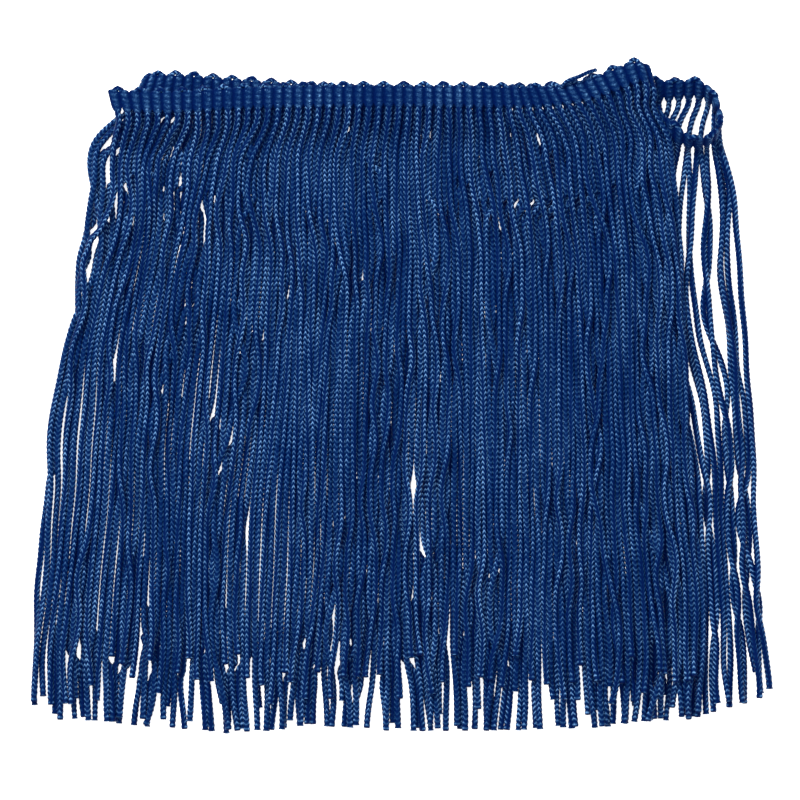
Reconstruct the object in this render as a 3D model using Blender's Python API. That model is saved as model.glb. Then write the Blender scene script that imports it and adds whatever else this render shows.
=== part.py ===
"""A cut length of chainette fringe trim, folded back and forth into four runs.

A ribbed heading carries one soft knitted cord for each rib.  The strip lies on a flat surface: run 1 on top,
then runs 2 and 3 under it, and a short run 4 at the bottom right, behind an open loop of the heading that
stands on its edge.  +X runs along the heading, +Y from the cord ends to the heading, +Z up.  The tables are
in millimetres, the model in metres, and its origin is under the middle of the folded piece.
"""

from collections import namedtuple
import math
import random

import bmesh
import bpy
from mathutils import Matrix
import numpy as np

MM = 0.001

# Driving sizes of the trim, in millimetres
CUT_LENGTH = 457.0          # half a yard of trim
RIB_PITCH = 2.5             # one rib and one cord
HEADING_HEIGHT = 6.0        # woven part of the heading
TOP_LOOP = 1.0              # each cord turns over the top edge into its neighbour
LOOP_OUTLINE = (0.0, 0.45, 1.0, 0.45)   # its height every half rib
RIB_THICKNESS = 1.8
VALLEY_THICKNESS = 1.3
BACKING_GAP = 0.55          # heading's lower edge to the strip that holds the cords' roots
BACKING_HEIGHT = 0.9
CORD_WIDTH = 1.6
CORD_THICKNESS = 1.2
CORD_CLEARANCE = 0.3        # between cords, and between the layers of cords
CORD_WAVER = 0.35
LAYER_PITCH = CORD_THICKNESS + CORD_CLEARANCE
HEADING_PITCH = 2.3         # between the middles of two runs of the heading that lie on each other
SURFACE_TOLERANCE = 0.03
CURVE_STEPS = 40
TANGENT_REACH = 0.2
STEEP_HEADING = 25.0        # degrees of tilt past which a cord drops at once to its layer,
STEEP_DROP = 1.2            # as it does where its root is this far above the layer
STEEP_DROP_DEPTH = 3.0
SEED = 11

# Where run 4 lies underneath, the runs above it are one layer higher
RISE_START, RISE_END = 28.0, 44.0

# The heading's lower edge: x, y, z of the middle of its thickness, the ribs' lean in plan (top to the left)
# and their tilt out of it (top raised)
Station = namedtuple("Station", "x y z lean tilt")
HEADING_PATH = (
    # run 1: cut end, along the top, to the first fold
    Station(x=-71.2, y=71.2, z=5.3, lean=14, tilt=0),
    Station(x=-57.5, y=70.6, z=6.2, lean=3, tilt=0),
    Station(x=-40.0, y=71.6, z=5.6, lean=0, tilt=0),
    Station(x=-15.0, y=72.2, z=5.5, lean=0, tilt=0),
    Station(x=10.0, y=72.2, z=5.5, lean=1, tilt=0),
    Station(x=28.0, y=72.0, z=5.6, lean=8, tilt=0),
    Station(x=38.0, y=72.3, z=6.8, lean=24, tilt=0),
    Station(x=48.0, y=73.9, z=7.8, lean=30, tilt=0),
    Station(x=56.0, y=76.8, z=8.1, lean=25, tilt=0),
    Station(x=60.2, y=78.2, z=8.3, lean=18, tilt=0),
    # first fold, then run 2 back to the left
    Station(x=63.2, y=77.2, z=6.9, lean=16, tilt=0),
    Station(x=60.6, y=75.8, z=5.5, lean=12, tilt=0),
    Station(x=48.0, y=73.6, z=5.5, lean=8, tilt=0),
    Station(x=38.0, y=72.2, z=4.5, lean=3, tilt=0),
    Station(x=28.0, y=71.5, z=3.3, lean=0, tilt=0),
    Station(x=0.0, y=71.3, z=3.2, lean=0, tilt=0),
    Station(x=-20.0, y=72.2, z=3.2, lean=0, tilt=0),
    Station(x=-32.0, y=73.2, z=3.2, lean=0, tilt=0),
    Station(x=-46.0, y=74.3, z=3.3, lean=-4, tilt=0),
    Station(x=-58.5, y=75.2, z=3.9, lean=-12, tilt=0),
    # second fold, then run 3 to the right
    Station(x=-65.2, y=75.0, z=2.4, lean=-22, tilt=0),
    Station(x=-59.5, y=74.0, z=0.9, lean=-14, tilt=0),
    Station(x=-48.0, y=70.4, z=0.9, lean=-4, tilt=0),
    Station(x=-25.0, y=67.6, z=0.9, lean=0, tilt=0),
    Station(x=10.0, y=66.4, z=0.9, lean=0, tilt=0),
    Station(x=28.0, y=66.0, z=1.0, lean=0, tilt=0),
    Station(x=38.0, y=65.8, z=2.2, lean=0, tilt=0),
    Station(x=48.0, y=65.6, z=3.1, lean=0, tilt=0),
    Station(x=64.0, y=64.3, z=2.9, lean=0, tilt=5),
    Station(x=69.0, y=63.0, z=3.0, lean=0, tilt=40),
    Station(x=73.0, y=62.4, z=3.0, lean=0, tilt=57),
    Station(x=77.0, y=63.1, z=3.0, lean=0, tilt=62),
    Station(x=79.6, y=65.4, z=3.1, lean=0, tilt=72),
    # the loop's end, on edge, then run 4 to the cut end underneath
    Station(x=80.9, y=69.6, z=2.9, lean=0, tilt=84),
    Station(x=79.0, y=73.0, z=1.9, lean=0, tilt=62),
    Station(x=75.0, y=74.6, z=1.6, lean=0, tilt=42),
    Station(x=68.0, y=74.2, z=1.4, lean=0, tilt=32),
    Station(x=62.5, y=73.8, z=1.0, lean=0, tilt=12),
    Station(x=55.0, y=73.2, z=0.9, lean=0, tilt=0),
    Station(x=36.0, y=72.4, z=0.9, lean=0, tilt=0),
)

# How far a cord that leaves the heading at root_x has moved sideways at each ring, in millimetres
Drift = namedtuple("Drift", "root_x at_rings")

# Each run: the layer its cords settle in, the heights of their first rings on the way there, their facing
# (+1 where the heading's face is up), the depths of the rings along a cord, the y that the cords reach, how
# much that varies, and the sideways drift
Run = namedtuple("Run", "name layer settling facing rings reach ragged drifts")
RUNS = (
    Run(
        name="fringe_run_1", layer=2, settling=(4.9, 4.0), facing=1, rings=(9, 18, 34, 60, 96),
        reach=-68.5, ragged=5.5,
        drifts=(
            Drift(root_x=-71, at_rings=(1.0, 1.8, -4.2, -9.8, -14.2, -17.5)),
            Drift(root_x=-62, at_rings=(0.0, -1.2, -3.5, -8.0, -12.0, -15.0)),
            Drift(root_x=-54, at_rings=(-2.5, -4.5, -5.5, -9.0, -12.0, -15.0)),
            Drift(root_x=-48, at_rings=(1.8, -0.5, -4.0, -7.0, -10.0, -13.0)),
            Drift(root_x=-40, at_rings=(0.8, -1.0, -5.0, -6.0, -8.0, -10.0)),
            Drift(root_x=-33, at_rings=(-0.3, -2.0, -2.0, -3.0, -5.0, -7.0)),
            Drift(root_x=-15, at_rings=(0.0, 0.0, -0.5, -1.0, -2.0, -3.0)),
            Drift(root_x=5, at_rings=(0.0, 0.0, 0.0, 0.0, 0.0, 0.0)),
            Drift(root_x=26, at_rings=(2.7, 5.0, 6.0, 6.0, 6.5, 7.0)),
            Drift(root_x=32, at_rings=(5.0, 8.0, 8.5, 8.0, 8.5, 9.0)),
            Drift(root_x=45, at_rings=(5.0, 6.5, 7.0, 7.5, 9.0, 11.0)),
            Drift(root_x=58, at_rings=(0.0, 1.0, 3.0, 4.5, 7.0, 10.0)),
            Drift(root_x=64, at_rings=(-1.0, 0.0, 2.0, 4.0, 8.0, 12.0)),
        ),
    ),
    Run(
        name="fringe_run_2", layer=1, settling=(3.0,), facing=-1, rings=(9, 18, 45, 90),
        reach=-76.0, ragged=5.5,
        drifts=(
            Drift(root_x=-65, at_rings=(-9.0, -11.5, -15.0, -19.0, -23.0)),
            Drift(root_x=-50, at_rings=(-2.0, -4.0, -8.0, -12.0, -16.0)),
            Drift(root_x=-25, at_rings=(0.0, -1.0, -3.0, -5.0, -7.0)),
            Drift(root_x=0, at_rings=(0.0, 0.0, 0.0, 0.0, 0.0)),
            Drift(root_x=30, at_rings=(1.0, 2.0, 3.0, 4.0, 5.0)),
            Drift(root_x=50, at_rings=(2.0, 3.0, 4.0, 6.0, 8.0)),
            Drift(root_x=63, at_rings=(-1.5, 0.0, 4.0, 8.0, 12.0)),
        ),
    ),
    Run(
        name="fringe_run_3", layer=0, settling=(), facing=1, rings=(9, 18, 45, 90),
        reach=-80.2, ragged=3.5,
        drifts=(
            Drift(root_x=-66, at_rings=(-8.0, -12.5, -16.5, -23.0, -28.5)),
            Drift(root_x=-50, at_rings=(-5.0, -8.5, -12.5, -16.5, -20.0)),
            Drift(root_x=-30, at_rings=(-1.0, -3.0, -6.0, -9.0, -11.0)),
            Drift(root_x=0, at_rings=(0.0, 0.0, -1.0, -2.0, -3.0)),
            Drift(root_x=30, at_rings=(0.5, 1.0, 2.0, 3.0, 4.0)),
            Drift(root_x=60, at_rings=(1.0, 2.0, 3.0, 5.0, 7.0)),
            Drift(root_x=73, at_rings=(0.5, 1.5, 4.0, 7.0, 10.0)),
            Drift(root_x=81, at_rings=(1.5, 3.5, 6.0, 7.5, 11.0)),
        ),
    ),
    Run(
        name="fringe_run_4", layer=-1, settling=(), facing=-1, rings=(9, 18, 45, 90),
        reach=-79.0, ragged=3.0,
        drifts=(
            Drift(root_x=44, at_rings=(0.0, 0.0, 1.0, 2.0, 3.0)),
            Drift(root_x=62, at_rings=(-1.0, 0.0, 1.0, 3.0, 5.0)),
            Drift(root_x=72, at_rings=(-3.5, -3.0, -1.0, 2.0, 5.0)),
            Drift(root_x=80, at_rings=(-3.0, -3.0, 0.0, 4.0, 8.0)),
        ),
    ),
)

# The loose tail of binding yarn above the heading: x, y, z along its middle
YARN_END_ROUTE = ((41.6, 78.6, 9.6), (44.6, 79.8, 9.9), (47.2, 81.0, 9.4), (49.0, 81.6, 8.8))
YARN_END_DIAMETER = 1.1
YARN_END_SIDES = 6


def clear_scene():
    for obj in list(bpy.data.objects):
        bpy.data.objects.remove(obj, do_unlink=True)


def make_material(name, colour, roughness):
    material = bpy.data.materials.new(name)
    material.use_nodes = True
    shader = material.node_tree.nodes["Principled BSDF"]
    shader.inputs["Base Color"].default_value = (*colour, 1.0)
    shader.inputs["Roughness"].default_value = roughness
    shader.inputs["Metallic"].default_value = 0.0
    return material


def make_object(name, bm, material):
    """The bmesh, in millimetres, becomes an object in metres."""
    bmesh.ops.recalc_face_normals(bm, faces=bm.faces)
    bmesh.ops.scale(bm, vec=(MM, MM, MM), verts=bm.verts)
    mesh = bpy.data.meshes.new(name)
    bm.to_mesh(mesh)
    bm.free()
    mesh.materials.append(material)
    obj = bpy.data.objects.new(name, mesh)
    bpy.context.scene.collection.objects.link(obj)
    return obj


def smooth_step(value, start, end):
    t = min(max((value - start) / (end - start), 0.0), 1.0)
    return t * t * (3 - 2 * t)


def unit(vector):
    return vector / np.linalg.norm(vector)


def curve_through(rows):
    """A smooth curve through every row, paced by the distance between rows so that it makes no loops."""
    rows = np.array(rows, float)
    knots = np.concatenate([[0.0], np.cumsum(np.sqrt(np.linalg.norm(np.diff(rows[:, :3], axis=0), axis=1)))])
    slopes = np.gradient(rows, knots, axis=0)
    samples = []
    for i in range(len(rows) - 1):
        span = knots[i + 1] - knots[i]
        for t in np.arange(CURVE_STEPS) / CURVE_STEPS:
            samples.append(
                (1 + 2 * t) * (1 - t) ** 2 * rows[i] + t * (1 - t) ** 2 * span * slopes[i]
                + t * t * (3 - 2 * t) * rows[i + 1] + t * t * (t - 1) * span * slopes[i + 1]
            )
    return np.array(samples + [rows[-1]])


class Heading:
    """The heading's lower edge as a function of the length along the trim."""

    def __init__(self, stations):
        self.samples = curve_through(stations)
        steps = np.linalg.norm(np.diff(self.samples[:, :3], axis=0), axis=1)
        self.lengths = np.concatenate([[0.0], np.cumsum(steps)])

    def row(self, length):
        return np.array([np.interp(length, self.lengths, column) for column in self.samples.T])

    def frame(self, length):
        """(point on the lower edge, along, up the rib, out of the face, tilt) at this length of trim."""
        x, y, z, lean, tilt = self.row(length)
        z, tilt = max(z, RIB_THICKNESS / 2), max(tilt, 0.0)
        along = unit(self.row(length + TANGENT_REACH)[:3] - self.row(length - TANGENT_REACH)[:3])
        lean, tilt_angle = math.radians(lean), math.radians(tilt)
        up = np.array([
            -math.sin(lean) * math.cos(tilt_angle),
            math.cos(lean) * math.cos(tilt_angle),
            math.sin(tilt_angle),
        ])
        return np.array([x, y, z]), along, up, unit(np.cross(along, up)), tilt


def add_ring(bm, points):
    return [bm.verts.new(point) for point in points]


def bridge(bm, first, second, skip=()):
    """Side faces between two rings of as many points, but for the sides in skip."""
    count = len(first)
    for i in range(count):
        if i not in skip:
            j = (i + 1) % count
            bm.faces.new((first[i], first[j], second[j], second[i]))


def cross_section(middle_low, up, out, low, high, front, back):
    """Four corners of the strip: low front, low back, high back, high front."""
    return (
        middle_low + up * low + out * front, middle_low + up * low - out * back,
        middle_low + up * high - out * back, middle_low + up * high + out * front,
    )


def build_heading(heading, material):
    """One strip along the whole path, thick at each rib, with a raised loop between the ribs of each pair.

    It is flat underneath where it lies on the surface.
    """
    bm = bmesh.new()
    halves = int(2 * CUT_LENGTH / RIB_PITCH)
    previous = None
    for half in range(halves + 1):
        point, _, up, out, _ = heading.frame(half * RIB_PITCH / 2)
        on_rib = half % 2 == 1
        loop = TOP_LOOP * LOOP_OUTLINE[half % len(LOOP_OUTLINE)]
        front = back = (RIB_THICKNESS if on_rib else VALLEY_THICKNESS) / 2
        if point[2] < RIB_THICKNESS / 2 + SURFACE_TOLERANCE:
            front = RIB_THICKNESS / 2 if out[2] < 0 else front
            back = RIB_THICKNESS / 2 if out[2] > 0 else back
        ring = add_ring(bm, cross_section(point, up, out, 0.0, HEADING_HEIGHT + loop, front, back))
        if previous:
            bridge(bm, previous, ring)
        else:
            bm.faces.new(ring[::-1])
        previous = ring
    bm.faces.new(previous)
    return make_object("heading", bm, material)


def cord_roots(heading):
    """The length along the trim of every cord, shared out to the runs by the folds between them."""
    directions = np.sign(np.diff(heading.samples[:, 0]))
    turns = heading.lengths[1:-1][np.diff(directions) != 0]
    edges = [0.0, *turns, CUT_LENGTH]
    places = (np.arange(int(CUT_LENGTH / RIB_PITCH)) + 0.5) * RIB_PITCH
    return [[s for s in places if start < s <= end] for start, end in zip(edges, edges[1:])]


def spread_apart(places, least):
    """The places, in their order, moved no more than it takes for neighbours to be this far apart."""
    order = np.argsort(places, kind="stable")
    apart = np.arange(len(places)) * least
    wanted = np.array(places)[order] - apart
    forward = np.maximum.accumulate(wanted)
    backward = np.minimum.accumulate(wanted[::-1])[::-1]
    result = np.empty(len(places))
    result[order] = (forward + backward) / 2 + apart
    return result


def cord_height(run, ring, x):
    """The middle of a cord at a ring: one layer higher where run 4 lies underneath."""
    rise = 1.0 if run.layer < 0 else smooth_step(x, RISE_START, RISE_END)
    settled = CORD_THICKNESS / 2 + (run.layer + rise) * LAYER_PITCH
    if ring >= len(run.settling):
        return settled
    return run.settling[ring] + rise * (HEADING_PITCH if ring == 0 else LAYER_PITCH)


def cord_routes(heading, run, lengths, rng):
    """For each cord of a run, the points that it passes below its root."""
    root_depth = BACKING_GAP + BACKING_HEIGHT
    frames = [heading.frame(s) for s in lengths]
    roots = np.array([point - up * root_depth for point, _, up, _, _ in frames])
    stations = [drift.root_x for drift in run.drifts]
    columns = np.array([drift.at_rings for drift in run.drifts]).T
    drops = [root[1] - run.reach + rng.uniform(-run.ragged, run.ragged) for root in roots]
    routes = [[root] for root in roots]
    for k, column in enumerate(columns):
        places = [
            root[0] + np.interp(root[0], stations, column) + rng.uniform(-CORD_WAVER, CORD_WAVER)
            for root in roots
        ]
        places = spread_apart(places, CORD_WIDTH + CORD_CLEARANCE)
        for i, x in enumerate(places):
            depth = run.rings[k] if k < len(run.rings) else drops[i]
            end = np.array([x, roots[i][1] - depth, cord_height(run, k, x)])
            steep = frames[i][-1] > STEEP_HEADING or roots[i][2] - end[2] > STEEP_DROP
            if k == 0 and steep:
                near = roots[i] + (end - roots[i]) * STEEP_DROP_DEPTH / depth
                near[2] = end[2]
                routes[i].append(near)
            routes[i].append(end)
    return routes


def cord_rings(route, facing):
    """The corner points of every ring past the root, square to the way that the cord runs."""
    rings = []
    for k in range(1, len(route)):
        ahead = route[min(k + 1, len(route) - 1)] - route[k - 1]
        way = unit(np.array([ahead[0], ahead[1], 0.0]))
        side = facing * np.array([-way[1], way[0], 0.0]) * CORD_WIDTH / 2
        lift = facing * np.array([0.0, 0.0, CORD_THICKNESS / 2])
        left, right = route[k] - side, route[k] + side
        rings.append((left + lift, left - lift, right - lift, right + lift))
    return rings


def build_fringe(heading, run, lengths, rng, material):
    """A narrow backing strip under the heading's lower edge, with the run's cords growing out of it."""
    bm = bmesh.new()
    low, high = -BACKING_GAP - BACKING_HEIGHT, -BACKING_GAP
    routes = cord_routes(heading, run, lengths, rng)
    previous = None
    for s, route in zip(lengths, routes):
        rings = []
        for edge in (-0.5, 0.5):
            point, _, up, out, _ = heading.frame(s + edge * CORD_WIDTH)
            half = CORD_THICKNESS / 2
            rings.append(add_ring(bm, cross_section(point, up, out, low, high, half, half)))
        if previous:
            bridge(bm, previous, rings[0])
        else:
            bm.faces.new(rings[0][::-1])
        bridge(bm, rings[0], rings[1], skip=(0,))
        section = [rings[0][0], rings[0][1], rings[1][1], rings[1][0]]
        for points in cord_rings(route, run.facing):
            ring = add_ring(bm, points)
            bridge(bm, section, ring)
            section = ring
        bm.faces.new(section)
        previous = rings[1]
    bm.faces.new(previous)
    return make_object(run.name, bm, material)


def build_yarn_end(material):
    """A short tail of the binding yarn, a thin rod with blunt ends."""
    bm = bmesh.new()
    points = [np.array(point) for point in YARN_END_ROUTE]
    previous = None
    for i, point in enumerate(points):
        way = unit(points[min(i + 1, len(points) - 1)] - points[max(i - 1, 0)])
        side = unit(np.cross(way, (0.0, 0.0, 1.0)))
        lift = np.cross(side, way)
        angles = 2 * math.pi * np.arange(YARN_END_SIDES) / YARN_END_SIDES
        ring = add_ring(bm, [
            point + YARN_END_DIAMETER / 2 * (math.cos(a) * side + math.sin(a) * lift) for a in angles
        ])
        if previous:
            bridge(bm, previous, ring)
        else:
            bm.faces.new(ring[::-1])
        previous = ring
    bm.faces.new(previous)
    return make_object("yarn_end", bm, material)


def stand_on_origin(objects):
    """Moves every mesh so that the origin is on the surface, under the middle of the whole piece."""
    corners = np.array([vertex.co for obj in objects for vertex in obj.data.vertices])
    low, high = corners.min(axis=0), corners.max(axis=0)
    shift = (-(low[0] + high[0]) / 2, -(low[1] + high[1]) / 2, -low[2])
    for obj in objects:
        obj.data.transform(Matrix.Translation(shift))


def main():
    clear_scene()
    rng = random.Random(SEED)
    heading_yarn = make_material("heading_yarn", (0.0075, 0.032, 0.115), 0.75)
    chainette = make_material("chainette", (0.010, 0.040, 0.145), 0.5)
    heading = Heading(HEADING_PATH)
    pieces = [build_heading(heading, heading_yarn), build_yarn_end(heading_yarn)]
    for run, lengths in zip(RUNS, cord_roots(heading)):
        pieces.append(build_fringe(heading, run, lengths, rng, chainette))
    stand_on_origin(pieces)


main()
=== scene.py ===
"""Chainette fringe trim, folded back and forth and laid flat: its knitted cords and its ribbed heading.

Laid out as an add-on and run as a script. The heading follows a path of stations, and every cord leaves it
at a rib, drifts sideways as its run's table says and settles on the cords below it.
"""

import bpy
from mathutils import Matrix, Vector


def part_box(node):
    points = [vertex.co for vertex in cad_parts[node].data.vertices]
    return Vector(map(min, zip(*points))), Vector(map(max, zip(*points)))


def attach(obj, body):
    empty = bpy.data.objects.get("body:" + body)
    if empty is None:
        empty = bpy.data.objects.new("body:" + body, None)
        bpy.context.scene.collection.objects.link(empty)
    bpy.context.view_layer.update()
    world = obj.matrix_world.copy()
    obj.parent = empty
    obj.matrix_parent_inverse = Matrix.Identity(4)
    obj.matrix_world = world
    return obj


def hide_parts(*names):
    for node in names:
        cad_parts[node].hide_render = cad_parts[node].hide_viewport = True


bl_info = {
    "name": "Chainette Fringe Trim",
    "version": (1, 0, 0),
    "blender": (4, 5, 0),
    "location": "3D View > Sidebar > Fringe",
    "description": "Builds a folded length of chainette fringe from knitted cords and a ribbed heading",
    "category": "Object",
}

from collections import namedtuple
from dataclasses import dataclass
import math
import random

import bpy
import numpy as np

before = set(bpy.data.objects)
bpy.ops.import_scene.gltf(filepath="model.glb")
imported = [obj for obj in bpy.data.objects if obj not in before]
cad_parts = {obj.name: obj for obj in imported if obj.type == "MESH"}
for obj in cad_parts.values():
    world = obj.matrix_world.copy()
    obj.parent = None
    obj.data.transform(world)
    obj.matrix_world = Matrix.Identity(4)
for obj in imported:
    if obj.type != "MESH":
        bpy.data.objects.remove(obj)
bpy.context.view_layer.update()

MM = 0.001
BODY = "root"

SEED = 11

# The trim's own sizes, in millimetres as all lengths here, from the same zero as the part's own source
CUT_LENGTH = 457.0
RIB_PITCH = 2.5
HEADING_HEIGHT = 6.0
RIB_THICKNESS = 1.8
RIB_COUNT = int(CUT_LENGTH / RIB_PITCH)

# A knitted cord: its radius, the length of a stitch, and how far it reaches up inside the heading
CORD_RADIUS = 0.82
STITCH = 1.24
CORD_REACH_INTO_HEADING = 1.6

# How finely a smooth curve is sampled between two of its points, and its tangent's half length
CURVE_STEPS = 40
TANGENT_REACH = 0.2

# The heading's lower edge: x, y, z of the middle of its thickness, the ribs' lean in plan (top to the left)
# and their tilt out of it (top raised)
Station = namedtuple("Station", "x y z lean tilt")
HEADING_PATH = (
    # run 1: cut end, along the top, to the first fold
    Station(x=-71.2, y=71.2, z=5.3, lean=14, tilt=0),
    Station(x=-57.5, y=70.6, z=6.2, lean=3, tilt=0),
    Station(x=-40.0, y=71.6, z=5.6, lean=0, tilt=0),
    Station(x=-15.0, y=72.2, z=5.5, lean=0, tilt=0),
    Station(x=10.0, y=72.2, z=5.5, lean=1, tilt=0),
    Station(x=28.0, y=72.0, z=5.6, lean=8, tilt=0),
    Station(x=38.0, y=72.3, z=6.8, lean=24, tilt=0),
    Station(x=48.0, y=73.9, z=7.8, lean=30, tilt=0),
    Station(x=56.0, y=76.8, z=8.1, lean=25, tilt=0),
    Station(x=60.2, y=78.2, z=8.3, lean=18, tilt=0),
    # first fold, then run 2 back to the left
    Station(x=63.2, y=77.2, z=6.9, lean=16, tilt=0),
    Station(x=60.6, y=75.8, z=5.5, lean=12, tilt=0),
    Station(x=48.0, y=73.6, z=5.5, lean=8, tilt=0),
    Station(x=38.0, y=72.2, z=4.5, lean=3, tilt=0),
    Station(x=28.0, y=71.5, z=3.3, lean=0, tilt=0),
    Station(x=0.0, y=71.3, z=3.2, lean=0, tilt=0),
    Station(x=-20.0, y=72.2, z=3.2, lean=0, tilt=0),
    Station(x=-32.0, y=73.2, z=3.2, lean=0, tilt=0),
    Station(x=-46.0, y=74.3, z=3.3, lean=-4, tilt=0),
    Station(x=-58.5, y=75.2, z=3.9, lean=-12, tilt=0),
    # second fold, then run 3 to the right
    Station(x=-65.2, y=75.0, z=2.4, lean=-22, tilt=0),
    Station(x=-59.5, y=74.0, z=0.9, lean=-14, tilt=0),
    Station(x=-48.0, y=70.4, z=0.9, lean=-4, tilt=0),
    Station(x=-25.0, y=67.6, z=0.9, lean=0, tilt=0),
    Station(x=10.0, y=66.4, z=0.9, lean=0, tilt=0),
    Station(x=28.0, y=66.0, z=1.0, lean=0, tilt=0),
    Station(x=38.0, y=65.8, z=2.2, lean=0, tilt=0),
    Station(x=48.0, y=65.6, z=3.1, lean=0, tilt=0),
    Station(x=62.0, y=67.6, z=2.9, lean=0, tilt=0),
    Station(x=68.4, y=63.9, z=3.0, lean=0, tilt=42),
    Station(x=73.0, y=62.4, z=3.0, lean=0, tilt=66),
    Station(x=76.6, y=63.1, z=3.0, lean=0, tilt=70),
    Station(x=78.8, y=65.4, z=3.1, lean=0, tilt=77),
    # the loop's end, on edge, then run 4 to the cut end underneath
    Station(x=79.7, y=69.6, z=2.9, lean=0, tilt=84),
    Station(x=78.2, y=73.0, z=1.9, lean=0, tilt=62),
    Station(x=75.0, y=74.6, z=1.6, lean=0, tilt=42),
    Station(x=68.0, y=74.2, z=1.4, lean=0, tilt=32),
    Station(x=62.5, y=73.8, z=1.0, lean=0, tilt=12),
    Station(x=55.0, y=73.2, z=0.9, lean=0, tilt=0),
    Station(x=36.0, y=72.4, z=0.9, lean=0, tilt=0),
)

# How far a cord that leaves the heading at root_x has moved sideways at each depth, in millimetres
Drift = namedtuple("Drift", "root_x at_depths")

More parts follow.
